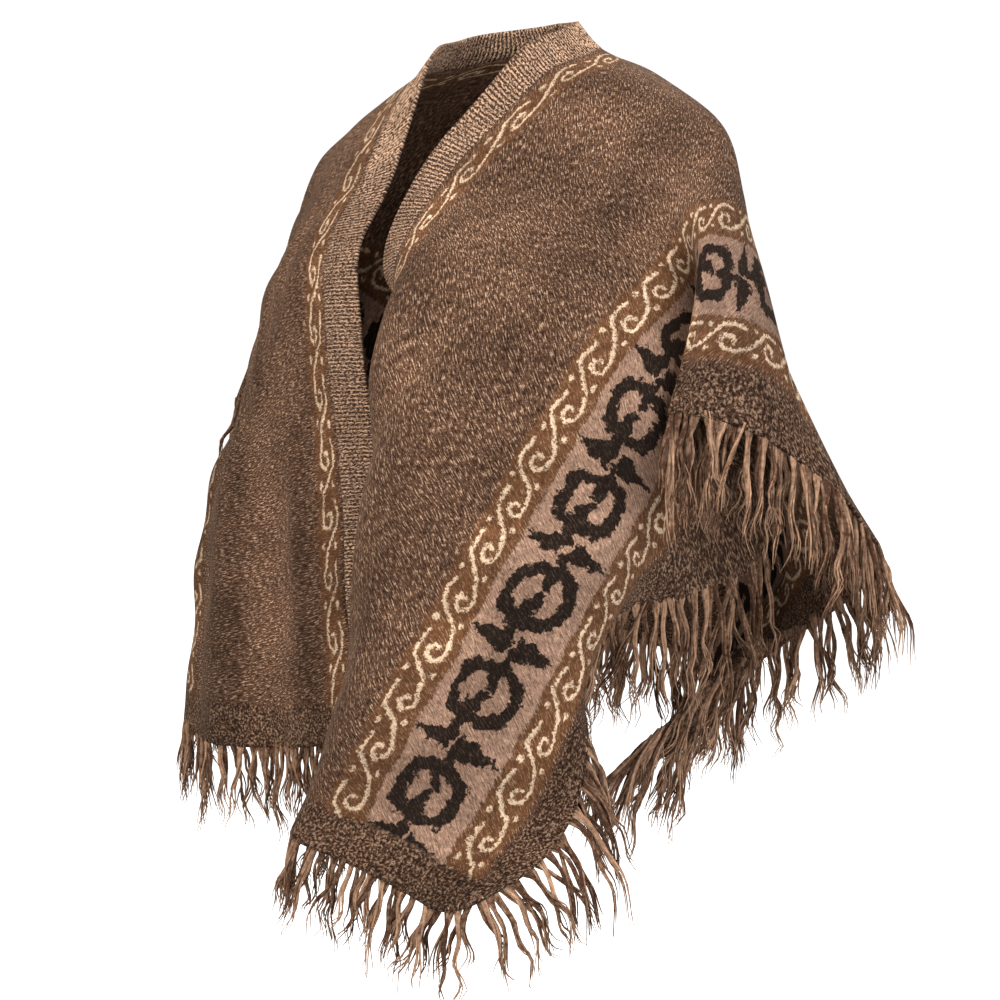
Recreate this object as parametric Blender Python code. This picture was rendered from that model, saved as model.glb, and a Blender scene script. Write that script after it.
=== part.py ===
"""An Andean poncho (ruana) of two loom widths, open down the front, in the hollow form it takes when worn.

Metres, +Z up. The wearer faces -Y, so the wearer's left is +X. The origin is the middle of the base of the
neck, where the shoulders hold the poncho up.

Each width is one surface. "across" runs from the opening seam to the side edge, and "along" runs from the
front hem, over the shoulder ridge at 0, to the back hem. The tables give the sections that the cloth passes
through, one row for each section, and everything else is read from those surfaces.
"""

from collections import namedtuple

import bmesh
import bpy
import numpy as np

# The cut, in metres.
WIDTH = 0.47
FRONT_LENGTH = 0.81
BACK_LENGTH = 0.74
NAPE = 0.12
BAND_WIDTH = 0.045
CORNER_RADIUS = 0.07

# The walls.
CLOTH_THICKNESS = 0.003
FRINGE_THICKNESSES = (0.003, 0.008, 0.008)
FRINGE_LEAN = 0.14
FRINGE_EASING = 8
SEAM_GAP = 0.0003

# The facets.
CELLS_ACROSS = 18
CELLS_TO_NAPE = 28
CELLS_DOWN_BACK = 16
BAND_CELLS_ACROSS = 2

# Where the table columns lie across the cloth. The band's free edge is on the other side of the seam.
Section = namedtuple("Section", "along free_edge seam breast middle field border rings margin side")
ACROSS = (-BAND_WIDTH, 0.0, 0.08, 0.16, 0.24, 0.30, 0.36, 0.42, WIDTH)

# The wearer's left front: its opening edge rolls under, and a deep pleat parts it from the arm.
LEFT_FRONT = (
    Section(-0.81, (0.135, -0.150, -0.670), (0.112, -0.170, -0.680), (0.046, -0.195, -0.700),
            (-0.015, -0.230, -0.720), (-0.005, -0.280, -0.737), (0.062, -0.280, -0.748),
            (0.130, -0.272, -0.763), (0.184, -0.262, -0.779), (0.227, -0.247, -0.771)),
    Section(-0.68, (0.140, -0.140, -0.550), (0.112, -0.158, -0.555), (0.052, -0.180, -0.572),
            (0.005, -0.218, -0.585), (0.065, -0.265, -0.608), (0.132, -0.256, -0.617),
            (0.194, -0.238, -0.638), (0.246, -0.215, -0.664), (0.276, -0.198, -0.676)),
    Section(-0.54, (0.110, -0.135, -0.405), (0.079, -0.155, -0.410), (0.024, -0.182, -0.417),
            (0.035, -0.230, -0.436), (0.128, -0.228, -0.461), (0.188, -0.211, -0.487),
            (0.242, -0.186, -0.508), (0.252, -0.140, -0.532), (0.208, -0.110, -0.548)),
    Section(-0.42, (0.070, -0.148, -0.285), (0.034, -0.168, -0.287), (0.022, -0.201, -0.292),
            (0.095, -0.209, -0.321), (0.181, -0.195, -0.356), (0.236, -0.176, -0.381),
            (0.283, -0.149, -0.408), (0.286, -0.100, -0.452), (0.264, -0.050, -0.510)),
    Section(-0.32, (-0.012, -0.158, -0.215), (0.023, -0.175, -0.209), (0.080, -0.178, -0.204),
            (0.158, -0.177, -0.232), (0.229, -0.161, -0.264), (0.280, -0.146, -0.294),
            (0.311, -0.126, -0.328), (0.302, -0.062, -0.385), (0.290, 0.005, -0.490)),
    Section(-0.21, (0.016, -0.126, -0.112), (0.054, -0.130, -0.123), (0.118, -0.124, -0.149),
            (0.190, -0.118, -0.170), (0.256, -0.099, -0.195), (0.284, -0.066, -0.228),
            (0.284, -0.024, -0.280), (0.290, 0.018, -0.350), (0.292, 0.048, -0.430)),
    Section(-0.10, (0.061, -0.047, -0.008), (0.096, -0.053, -0.036), (0.165, -0.057, -0.069),
            (0.228, -0.055, -0.102), (0.284, -0.056, -0.143), (0.317, -0.084, -0.190),
            (0.334, -0.110, -0.240), (0.336, -0.131, -0.294), (0.327, -0.140, -0.345)),
)

# The left shoulder and arm: the ridge, and the fold that falls behind the arm.
LEFT_SHOULDER = (
    Section(0.00, (0.076, 0.008, 0.022), (0.106, 0.011, -0.006), (0.182, 0.012, -0.040),
            (0.248, 0.014, -0.086), (0.287, 0.004, -0.150), (0.308, -0.008, -0.200),
            (0.328, -0.020, -0.250), (0.350, -0.036, -0.308), (0.362, -0.048, -0.370)),
    Section(NAPE, (0.000, 0.064, 0.036), (0.000, 0.084, -0.002), (0.080, 0.082, -0.035),
            (0.155, 0.072, -0.090), (0.218, 0.056, -0.160), (0.262, 0.044, -0.225),
            (0.307, 0.034, -0.300), (0.360, 0.028, -0.378), (0.405, 0.032, -0.445)),
)

# The left back: it falls straight from the shoulders and wraps round the side, under the arm.
LEFT_BACK = (
    Section(0.26, (-0.077, 0.030, 0.033), (0.000, 0.132, -0.132), (0.072, 0.138, -0.150),
            (0.135, 0.130, -0.195), (0.190, 0.115, -0.255), (0.225, 0.105, -0.315),
            (0.265, 0.100, -0.380), (0.310, 0.100, -0.445), (0.352, 0.108, -0.505)),
    Section(0.42, (-0.077, 0.030, 0.033), (0.000, 0.168, -0.288), (0.072, 0.174, -0.302),
            (0.136, 0.166, -0.335), (0.185, 0.147, -0.385), (0.216, 0.132, -0.430),
            (0.242, 0.118, -0.480), (0.262, 0.104, -0.530), (0.275, 0.092, -0.565)),
    Section(0.58, (-0.077, 0.030, 0.033), (0.000, 0.192, -0.448), (0.076, 0.190, -0.455),
            (0.136, 0.172, -0.475), (0.182, 0.140, -0.502), (0.206, 0.110, -0.530),
            (0.220, 0.078, -0.562), (0.222, 0.042, -0.598), (0.216, 0.012, -0.628)),
    Section(0.74, (-0.077, 0.030, 0.033), (0.000, 0.208, -0.606), (0.080, 0.200, -0.608),
            (0.140, 0.164, -0.610), (0.176, 0.120, -0.620), (0.192, 0.075, -0.636),
            (0.196, 0.030, -0.658), (0.186, -0.015, -0.682), (0.166, -0.050, -0.698)),
)

# The wearer's right front: its band lies flat and in view, and it falls from the arm with a shallow pleat.
RIGHT_FRONT = (
    Section(-0.81, (0.022, -0.175, -0.660), (-0.020, -0.188, -0.664), (-0.092, -0.202, -0.676),
            (-0.164, -0.206, -0.684), (-0.236, -0.206, -0.682), (-0.288, -0.190, -0.672),
            (-0.322, -0.140, -0.656), (-0.328, -0.082, -0.644), (-0.322, -0.034, -0.632)),
    Section(-0.68, (0.008, -0.175, -0.534), (-0.034, -0.186, -0.538), (-0.104, -0.199, -0.546),
            (-0.172, -0.202, -0.552), (-0.234, -0.196, -0.556), (-0.277, -0.178, -0.556),
            (-0.308, -0.138, -0.552), (-0.318, -0.084, -0.550), (-0.316, -0.036, -0.548)),
    Section(-0.54, (-0.006, -0.172, -0.408), (-0.050, -0.180, -0.411), (-0.116, -0.190, -0.419),
            (-0.178, -0.191, -0.425), (-0.235, -0.181, -0.431), (-0.273, -0.158, -0.440),
            (-0.299, -0.128, -0.455), (-0.316, -0.106, -0.476), (-0.330, -0.094, -0.500)),
    Section(-0.42, (-0.030, -0.169, -0.294), (-0.074, -0.174, -0.295), (-0.132, -0.180, -0.301),
            (-0.188, -0.172, -0.315), (-0.236, -0.148, -0.335), (-0.265, -0.122, -0.355),
            (-0.288, -0.102, -0.382), (-0.305, -0.086, -0.420), (-0.318, -0.076, -0.456)),
    Section(-0.32, (-0.046, -0.160, -0.200), (-0.090, -0.164, -0.202), (-0.145, -0.164, -0.211),
            (-0.196, -0.147, -0.234), (-0.238, -0.124, -0.266), (-0.270, -0.105, -0.300),
            (-0.295, -0.090, -0.335), (-0.308, -0.072, -0.370), (-0.316, -0.056, -0.405)),
    Section(-0.21, (-0.028, -0.128, -0.116), (-0.070, -0.136, -0.126), (-0.131, -0.134, -0.140),
            (-0.186, -0.113, -0.165), (-0.226, -0.076, -0.200), (-0.244, -0.034, -0.230),
            (-0.252, 0.012, -0.278), (-0.262, 0.048, -0.340), (-0.270, 0.070, -0.412)),
    Section(-0.10, (-0.066, -0.046, -0.004), (-0.100, -0.054, -0.037), (-0.166, -0.060, -0.066),
            (-0.221, -0.057, -0.105), (-0.265, -0.054, -0.155), (-0.290, -0.054, -0.205),
            (-0.308, -0.054, -0.255), (-0.325, -0.056, -0.305), (-0.342, -0.062, -0.348)),
)

# Soft folds that the sections are too few to hold: where each crest lies, and how wide and high it stands.
Fold = namedtuple("Fold", "across along_from along_to width height")
LEFT_FOLDS = (
    Fold(0.11, 0.24, 0.95, 0.034, 0.020),
    Fold(0.19, 0.30, 0.95, 0.030, -0.016),
    Fold(0.28, 0.26, 0.95, 0.034, 0.017),
    Fold(0.37, 0.34, 0.95, 0.030, -0.012),
)
RIGHT_FOLDS = (
    Fold(0.09, 0.28, 0.95, 0.032, 0.018),
    Fold(0.17, 0.24, 0.95, 0.032, -0.017),
    Fold(0.26, 0.30, 0.95, 0.034, 0.019),
    Fold(0.35, 0.26, 0.95, 0.030, -0.013),
    Fold(0.12, -1.00, -0.44, 0.036, 0.009),
    Fold(0.20, -1.00, -0.40, 0.034, -0.011),
    Fold(0.37, -1.00, -0.50, 0.034, -0.012),
)


def mirrored(sections):
    """The same sections on the wearer's other side."""
    return tuple(
        Section(row.along, *((-x, y, z) for x, y, z in row[1:]))
        for row in sections
    )


def smooth_step(value):
    """0 up to 0, 1 from 1, with a smooth rise between them."""
    value = np.clip(value, 0.0, 1.0)
    return value * value * (3.0 - 2.0 * value)


def through(stations, points, station):
    """The smooth curve through the points, one at each station, read at another station."""
    last = len(stations) - 1
    i = int(np.clip(np.searchsorted(stations, station) - 1, 0, last - 1))
    before, after = max(i - 1, 0), min(i + 2, last)
    span = stations[i + 1] - stations[i]
    slope_in = (points[i + 1] - points[before]) / (stations[i + 1] - stations[before]) * span
    slope_out = (points[after] - points[i]) / (stations[after] - stations[i]) * span
    u = (station - stations[i]) / span
    return (
        (2 * u**3 - 3 * u**2 + 1) * points[i]
        + (u**3 - 2 * u**2 + u) * slope_in
        + (3 * u**2 - 2 * u**3) * points[i + 1]
        + (u**3 - u**2) * slope_out
    )


class Width:
    """One loom width with its half of the opening band, as a surface in space."""

    def __init__(self, side, sections, folds):
        self.side = side
        self.folds = folds
        self.stations = [row.along for row in sections]
        self.grid = np.array([row[1:] for row in sections])

    def base(self, across, along):
        """The point of the cloth's outer face, before its soft folds."""
        row = through(self.stations, self.grid, along)
        if along > NAPE:
            # Past the nape the two widths are sewn together, so the cloth runs on as its mirror image.
            row = row.copy()
            row[0] = through(ACROSS[1:], row[1:], BAND_WIDTH) * (-1, 1, 1)
        return through(ACROSS, row, across)

    def normal_of(self, surface, across, along, step=0.002):
        along_way = surface(across, along + step) - surface(across, along - step)
        across_way = surface(across + step, along) - surface(across - step, along)
        normal = np.cross(across_way, along_way) * -self.side
        if along > NAPE and across < step:
            normal[0] = 0.0
        return normal / np.linalg.norm(normal)

    def fold_height(self, across, along):
        height = 0.0
        for fold in self.folds:
            reach = smooth_step((along - fold.along_from) / 0.16) * smooth_step((fold.along_to - along) / 0.16)
            height += fold.height * reach * np.exp(-(((across - fold.across) / fold.width) ** 2))
        return height

    def point(self, across, along):
        height = self.fold_height(across, along)
        base = self.base(across, along)
        if abs(height) < 1e-5:
            return base
        return base + height * self.normal_of(self.base, across, along)

    def normal(self, across, along):
        return self.normal_of(self.point, across, along)

    def hems(self, across):
        """Where the front and back hems lie, with the outer corners rounded off."""
        past = max(across - (WIDTH - CORNER_RADIUS), 0.0)
        cut = CORNER_RADIUS - np.sqrt(max(CORNER_RADIUS**2 - past**2, 0.0))
        return -FRONT_LENGTH + cut, BACK_LENGTH - cut

    def stations_along(self, across):
        """The same stations for the cloth and its band, so that their seam faces lie side by side."""
        front, back = self.hems(across)
        to_nape = np.linspace(front, NAPE, CELLS_TO_NAPE + 1)
        return np.concatenate((to_nape, np.linspace(NAPE, back, CELLS_DOWN_BACK + 1)[1:]))


def wall(name, outer, normals, thickness):
    """A closed shell: the outer skin, the same skin moved in by the thickness, and the rim between them."""
    rows, columns = outer.shape[:2]
    faced = np.cross(outer[:-1, 1:] - outer[:-1, :-1], outer[1:, :-1] - outer[:-1, :-1])
    if (faced * normals[:-1, :-1]).sum() < 0:
        outer, normals = outer[::-1], normals[::-1]
    mesh = bmesh.new()
    skins = [
        [[mesh.verts.new(point) for point in row] for row in skin]
        for skin in (outer, outer - normals * thickness)
    ]
    for i in range(rows - 1):
        for j in range(columns - 1):
            corners = ((i, j), (i, j + 1), (i + 1, j + 1), (i + 1, j))
            mesh.faces.new([skins[0][k][m] for k, m in corners])
            mesh.faces.new([skins[1][k][m] for k, m in reversed(corners)])
    rim = [(i, 0) for i in range(rows)]
    rim += [(rows - 1, j) for j in range(1, columns)]
    rim += [(i, columns - 1) for i in range(rows - 2, -1, -1)]
    rim += [(0, j) for j in range(columns - 2, 0, -1)]
    for (i, j), (k, m) in zip(rim, rim[1:] + rim[:1]):
        a, b, c, d = skins[0][i][j], skins[0][k][m], skins[1][k][m], skins[1][i][j]
        # The shorter diagonal, so that the two faces of a twisted seam are cut alike and don't meet.
        if (a.co - c.co).length < (b.co - d.co).length:
            halves = ((a, b, c), (a, c, d))
        else:
            halves = ((a, b, d), (b, c, d))
        for half in halves:
            mesh.faces.new(half)
    data = bpy.data.meshes.new(name)
    mesh.to_mesh(data)
    mesh.free()
    return bpy.data.objects.new(name, data)


def cloth_wall(name, width):
    """The whole width, from the opening seam to the side edge and from hem to hem."""
    points, normals = [], []
    for i in range(CELLS_ACROSS + 1):
        across = WIDTH * i / CELLS_ACROSS
        points.append([])
        normals.append([])
        for along in width.stations_along(across):
            point = width.point(across, along)
            if i == 0 and along > NAPE:
                point[0] = width.side * SEAM_GAP / 2
            points[-1].append(point)
            normals[-1].append(width.normal(across, along))
    return wall(name, np.array(points), np.array(normals), CLOTH_THICKNESS)


def band_wall(name, width):
    """The ribbed band, sewn to the opening edge from the front hem to the nape."""
    points, normals = [], []
    for i in range(BAND_CELLS_ACROSS + 1):
        across = -SEAM_GAP - (BAND_WIDTH - SEAM_GAP) * i / BAND_CELLS_ACROSS
        points.append([])
        normals.append([])
        for along in width.stations_along(0.0)[: CELLS_TO_NAPE + 1]:
            point = width.point(across, along)
            normal = width.normal(across, along)
            if along == NAPE:
                point[0] = width.side * SEAM_GAP / 2
                normal[0] = 0.0
                normal /= np.linalg.norm(normal)
            points[-1].append(point)
            normals[-1].append(normal)
    return wall(name, np.array(points), np.array(normals), CLOTH_THICKNESS)


# The fringe: the edge it is on, the part of that edge it takes, the length of its strands, and how far
# they have turned from the cloth's own line to straight down.
Fringe = namedtuple("Fringe", "name edge start end length droop")
LEFT_FRINGES = (
    Fringe("left_fringe_front", "front_hem", 0.0, 1.0, 0.095, 0.35),
    Fringe("left_fringe_side", "side_edge", 0.0, 0.30, 0.105, 0.45),
    Fringe("left_fringe_arm", "side_edge", 0.45, 0.65, 0.110, 0.80),
    Fringe("left_fringe_behind", "side_edge", 0.68, 0.98, 0.090, 0.55),
    Fringe("left_fringe_back", "back_hem", 0.0, 1.0, 0.095, 0.45),
)
RIGHT_FRINGES = (
    Fringe("right_fringe_front", "front_hem", 0.0, 1.0, 0.095, 0.35),
    Fringe("right_fringe_side", "side_edge", 0.12, 0.30, 0.100, 0.40),
    Fringe("right_fringe_arm", "side_edge", 0.42, 0.65, 0.100, 0.80),
    Fringe("right_fringe_behind", "side_edge", 0.68, 0.98, 0.090, 0.55),
    Fringe("right_fringe_back", "back_hem", 0.0, 1.0, 0.095, 0.45),
)
DOWN = np.array((0.0, 0.0, -1.0))


def edge_stations(width, edge):
    """(across, along) at each station of the cloth's edge, in order."""
    if edge == "side_edge":
        return [(WIDTH, along) for along in width.stations_along(WIDTH)]
    hem = 0 if edge == "front_hem" else 1
    stations = [WIDTH * i / CELLS_ACROSS for i in range(CELLS_ACROSS + 1)]
    return [(across, width.hems(across)[hem]) for across in stations]


def edge_frame(width, edge, across, along):
    """On the edge of the cloth: the point, the way out of the cloth, and the cloth's normal."""
    step = 0.004
    rounded = max(across - (WIDTH - CORNER_RADIUS), 0.0) / CORNER_RADIUS
    if edge == "side_edge":
        inside = width.point(across - step, along)
    else:
        inward = step if edge == "front_hem" else -step
        inside = width.point(across - step * rounded, along + inward * (1.0 - rounded) + inward * 0.2)
    point = width.point(across, along)
    out = point - inside
    return point, out / np.linalg.norm(out), width.normal(across, along)


def eased(directions, edge):
    """Directions down a side edge, each turned toward its neighbours, so that its strands don't cross."""
    for _ in range(FRINGE_EASING if edge == "side_edge" else 0):
        held = np.concatenate((directions[:1], directions, directions[-1:]))
        directions = (held[:-2] + 2 * directions + held[2:]) / 4
    return directions / np.linalg.norm(directions, axis=1)[:, None]


def fringe_wall(width, fringe):
    """A plain wall where the strands hang: it leaves the edge in line with the cloth and turns downward."""
    frames = [edge_frame(width, fringe.edge, *station) for station in edge_stations(width, fringe.edge)]
    first = round(fringe.start * (len(frames) - 1))
    last = round(fringe.end * (len(frames) - 1))
    places, outs, normals = (np.array(values) for values in zip(*frames[first : last + 1]))
    # The ends stop just short, clear of the next stretch of fringe.
    places[0] += (places[1] - places[0]) * 0.03
    places[-1] += (places[-2] - places[-1]) * 0.03
    steps_down = len(FRINGE_THICKNESSES) - 1
    columns, faces = [], []
    ways = (eased(directions, fringe.edge) for directions in (outs, normals))
    for point, root_out, root_normal, out, normal in zip(places, outs, normals, *ways):
        column = [point + root_out * SEAM_GAP]
        facing = [root_normal]
        for i in range(steps_down):
            turn = fringe.droop * (i + 1.0) / steps_down
            way = out * (1.0 - turn) + DOWN * turn + normal * FRINGE_LEAN
            way /= np.linalg.norm(way)
            column.append(column[-1] + way * fringe.length / steps_down)
            face = normal - way * np.dot(normal, way)
            facing.append(face / np.linalg.norm(face))
        columns.append(column)
        faces.append(facing)
    thicknesses = np.array(FRINGE_THICKNESSES)[None, :, None]
    return wall(fringe.name, np.array(columns), np.array(faces), thicknesses)


def cloth_material(name, colour, roughness):
    material = bpy.data.materials.new(name)
    material.use_nodes = True
    shader = material.node_tree.nodes["Principled BSDF"]
    shader.inputs["Base Color"].default_value = (*colour, 1.0)
    shader.inputs["Roughness"].default_value = roughness
    shader.inputs["Metallic"].default_value = 0.0
    material.diffuse_color = (*colour, 1.0)
    return material


def place(collection, piece, material):
    piece.data.materials.append(material)
    collection.objects.link(piece)


def main():
    for old in list(bpy.data.objects):
        bpy.data.objects.remove(old, do_unlink=True)
    poncho = bpy.data.collections.new("andean_poncho")
    bpy.context.scene.collection.children.link(poncho)
    sides = (
        ("left", Width(1, LEFT_FRONT + LEFT_SHOULDER + LEFT_BACK, LEFT_FOLDS), LEFT_FRINGES),
        ("right", Width(-1, RIGHT_FRONT + mirrored(LEFT_SHOULDER + LEFT_BACK), RIGHT_FOLDS), RIGHT_FRINGES),
    )
    for side, width, fringes in sides:
        place(poncho, cloth_wall(f"{side}_width", width), cloth_material(f"{side}_cloth", (0.20, 0.12, 0.07), 0.95))
        place(poncho, band_wall(f"{side}_band", width), cloth_material(f"{side}_ribbing", (0.24, 0.16, 0.10), 0.95))
        for fringe in fringes:
            place(poncho, fringe_wall(width, fringe), cloth_material(fringe.name, (0.26, 0.16, 0.10), 0.95))


if __name__ == "__main__":
    main()
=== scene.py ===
"""An Andean poncho (ruana): two fulled wool widths with patterned side bands, ribbed bands and fringes.

Everything is in metres, +Z up, with the wearer facing -Y and the origin at the base of the neck, except the
tables of the worn form, which are in millimetres. "across" runs from the opening seam to the side edge of a
width, and "along" runs from the front hem, over the shoulder ridge at 0, to the back hem. The cloth, its
pattern, its ribs and its fringes are all laid out in those two measures.
"""

import math
from collections import namedtuple

import bpy
import numpy as np
from bpy.props import FloatProperty, FloatVectorProperty, IntProperty, PointerProperty
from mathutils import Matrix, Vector


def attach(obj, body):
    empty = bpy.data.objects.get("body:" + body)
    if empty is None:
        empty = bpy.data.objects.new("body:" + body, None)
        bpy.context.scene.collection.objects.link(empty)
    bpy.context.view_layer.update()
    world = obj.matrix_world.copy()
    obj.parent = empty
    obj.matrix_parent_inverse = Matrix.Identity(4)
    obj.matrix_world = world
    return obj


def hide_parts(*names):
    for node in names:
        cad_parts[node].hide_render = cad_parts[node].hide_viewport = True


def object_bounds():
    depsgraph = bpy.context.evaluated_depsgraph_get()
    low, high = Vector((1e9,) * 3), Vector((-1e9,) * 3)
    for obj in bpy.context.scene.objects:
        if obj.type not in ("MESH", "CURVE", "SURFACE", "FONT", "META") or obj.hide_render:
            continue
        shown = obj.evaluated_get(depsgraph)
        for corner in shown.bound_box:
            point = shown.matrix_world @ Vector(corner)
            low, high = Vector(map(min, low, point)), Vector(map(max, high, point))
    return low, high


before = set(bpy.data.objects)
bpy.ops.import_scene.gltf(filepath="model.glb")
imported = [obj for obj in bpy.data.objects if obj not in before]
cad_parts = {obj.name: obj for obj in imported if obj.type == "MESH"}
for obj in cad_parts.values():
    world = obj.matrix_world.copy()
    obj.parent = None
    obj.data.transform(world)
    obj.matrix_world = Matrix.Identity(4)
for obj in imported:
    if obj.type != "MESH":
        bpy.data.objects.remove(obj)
CAD_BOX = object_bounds()

bl_info = {
    "name": "Andean Poncho",
    "version": (1, 0, 0),
    "blender": (4, 5, 0),
    "location": "View3D > Sidebar > Poncho",
    "description": "Weaves, bands and fringes an Andean poncho over its worn form",
    "category": "Add Mesh",
}

# The cut, in metres.
WIDTH = 0.47
FRONT_LENGTH = 0.81
BACK_LENGTH = 0.74
NAPE = 0.12
BAND_WIDTH = 0.045
CORNER_RADIUS = 0.07
SEAM_GAP = 0.0003

# The worn form, in millimetres. A row is a section from the band's free edge to the side edge, and its
# columns are points on the cloth's outer face. ACROSS says, in metres, where they lie across the cloth: the
# free edge is on the other side of the seam.
Section = namedtuple("Section", "along free_edge seam breast middle field border rings margin side")
ACROSS = np.array((-BAND_WIDTH, 0.0, 0.08, 0.16, 0.24, 0.30, 0.36, 0.42, WIDTH))

# The wearer's left front: its opening edge rolls under, and a deep pleat parts it from the arm.
LEFT_FRONT = (
    Section(-810, (135, -150, -670), (112, -170, -680), (46, -195, -700), (-15, -230, -720),
            (-5, -280, -737), (62, -280, -748), (130, -272, -763), (184, -262, -779), (227, -247, -771)),
    Section(-680, (140, -140, -550), (112, -158, -555), (52, -180, -572), (5, -218, -585),
            (65, -265, -608), (132, -256, -617), (194, -238, -638), (246, -215, -664), (276, -198, -676)),
    Section(-540, (110, -135, -405), (79, -155, -410), (24, -182, -417), (35, -230, -436),
            (128, -228, -461), (188, -211, -487), (242, -186, -508), (252, -140, -532), (208, -110, -548)),
    Section(-420, (70, -148, -285), (34, -168, -287), (22, -201, -292), (95, -209, -321),
            (181, -195, -356), (236, -176, -381), (283, -149, -408), (286, -100, -452), (264, -50, -510)),
    Section(-320, (-12, -158, -215), (23, -175, -209), (80, -178, -204), (158, -177, -232),
            (229, -161, -264), (280, -146, -294), (311, -126, -328), (302, -62, -385), (290, 5, -490)),
    Section(-210, (16, -126, -112), (54, -130, -123), (118, -124, -149), (190, -118, -170),
            (256, -99, -195), (284, -66, -228), (284, -24, -280), (290, 18, -350), (292, 48, -430)),
    Section(-100, (61, -47, -8), (96, -53, -36), (165, -57, -69), (228, -55, -102), (284, -56, -143),
            (317, -84, -190), (334, -110, -240), (336, -131, -294), (327, -140, -345)),
)

# The left shoulder and arm: the ridge, and the fold that falls behind the arm.
LEFT_SHOULDER = (
    Section(0, (76, 8, 22), (106, 11, -6), (182, 12, -40), (248, 14, -86), (287, 4, -150),
            (308, -8, -200), (328, -20, -250), (350, -36, -308), (362, -48, -370)),
    Section(120, (0, 64, 36), (0, 84, -2), (80, 82, -35), (155, 72, -90), (218, 56, -160),
            (262, 44, -225), (307, 34, -300), (360, 28, -378), (405, 32, -445)),
)

# The left back: it falls straight from the shoulders and wraps round the side, under the arm.
LEFT_BACK = (
    Section(260, (-77, 30, 33), (0, 132, -132), (72, 138, -150), (135, 130, -195), (190, 115, -255),
            (225, 105, -315), (265, 100, -380), (310, 100, -445), (352, 108, -505)),
    Section(420, (-77, 30, 33), (0, 168, -288), (72, 174, -302), (136, 166, -335), (185, 147, -385),
            (216, 132, -430), (242, 118, -480), (262, 104, -530), (275, 92, -565)),
    Section(580, (-77, 30, 33), (0, 192, -448), (76, 190, -455), (136, 172, -475), (182, 140, -502),
            (206, 110, -530), (220, 78, -562), (222, 42, -598), (216, 12, -628)),
    Section(740, (-77, 30, 33), (0, 208, -606), (80, 200, -608), (140, 164, -610), (176, 120, -620),
            (192, 75, -636), (196, 30, -658), (186, -15, -682), (166, -50, -698)),
)

# The wearer's right front: its band lies flat and in view, and it falls from the arm with a shallow pleat.
RIGHT_FRONT = (
    Section(-810, (22, -175, -660), (-20, -188, -664), (-92, -202, -676), (-164, -206, -684),
            (-236, -206, -682), (-288, -190, -672), (-322, -140, -656), (-328, -82, -644), (-322, -34, -632)),
    Section(-680, (8, -175, -534), (-34, -186, -538), (-104, -199, -546), (-172, -202, -552),
            (-234, -196, -556), (-277, -178, -556), (-308, -138, -552), (-318, -84, -550), (-316, -36, -548)),
    Section(-540, (-6, -172, -408), (-50, -180, -411), (-116, -190, -419), (-178, -191, -425),
            (-235, -181, -431), (-273, -158, -440), (-299, -128, -455), (-316, -106, -476), (-330, -94, -500)),
    Section(-420, (-30, -169, -294), (-74, -174, -295), (-132, -180, -301), (-188, -172, -315),
            (-236, -148, -335), (-265, -122, -355), (-288, -102, -382), (-305, -86, -420), (-318, -76, -456)),
    Section(-320, (-46, -160, -200), (-90, -164, -202), (-145, -164, -211), (-196, -147, -234),
            (-238, -124, -266), (-270, -105, -300), (-295, -90, -335), (-308, -72, -370), (-316, -56, -405)),
    Section(-210, (-28, -128, -116), (-70, -136, -126), (-131, -134, -140), (-186, -113, -165),
            (-226, -76, -200), (-244, -34, -230), (-252, 12, -278), (-262, 48, -340), (-270, 70, -412)),
    Section(-100, (-66, -46, -4), (-100, -54, -37), (-166, -60, -66), (-221, -57, -105),
            (-265, -54, -155), (-290, -54, -205), (-308, -54, -255), (-325, -56, -305), (-342, -62, -348)),
)

# Soft folds down the cloth, in millimetres: where each crest lies, and how wide and high it stands.
Fold = namedtuple("Fold", "across along_from along_to width height")
LEFT_FOLDS = (
    Fold(110, 240, 950, 34, 20),
    Fold(190, 300, 950, 30, -16),
    Fold(280, 260, 950, 34, 17),
    Fold(370, 340, 950, 30, -12),
)
RIGHT_FOLDS = (
    Fold(90, 280, 950, 32, 18),
    Fold(170, 240, 950, 32, -17),
    Fold(260, 300, 950, 34, 19),
    Fold(350, 260, 950, 30, -13),
    Fold(120, -1000, -440, 36, 9),
    Fold(200, -1000, -400, 34, -11),
    Fold(370, -1000, -500, 34, -12),
)

# Creases, in millimetres: soft ridges (height above 0) and troughs (below 0) from one place in the cut to
# another.
Crease = namedtuple("Crease", "across_from along_from across_to along_to width height")
LEFT_CREASES = (
    Crease(130, -40, 240, -260, 20, -6),
    Crease(190, -20, 250, -170, 15, 5),
    Crease(220, -220, 200, -440, 18, -4.5),
    Crease(160, -300, 120, -560, 14, 4),
    Crease(100, -170, 50, -340, 12, -3),
    Crease(260, -440, 300, -660, 16, 3.5),
    Crease(200, -520, 240, -760, 14, -3.5),
    Crease(330, -520, 360, -760, 18, -4),
    Crease(400, -580, 420, -780, 15, 3.5),
    Crease(300, 20, 440, -60, 14, -4),
    Crease(330, 70, 460, 50, 12, 3.5),
    Crease(100, 100, 300, 170, 18, -4.5),
    Crease(160, 160, 400, 260, 14, 4),
    Crease(60, 200, 80, 480, 15, -4.5),
    Crease(230, 300, 260, 620, 14, -5),
    Crease(320, 240, 350, 500, 13, 4.5),
    Crease(140, 460, 160, 700, 12, 4),
    Crease(420, 340, 410, 640, 14, -4),
)
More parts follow.
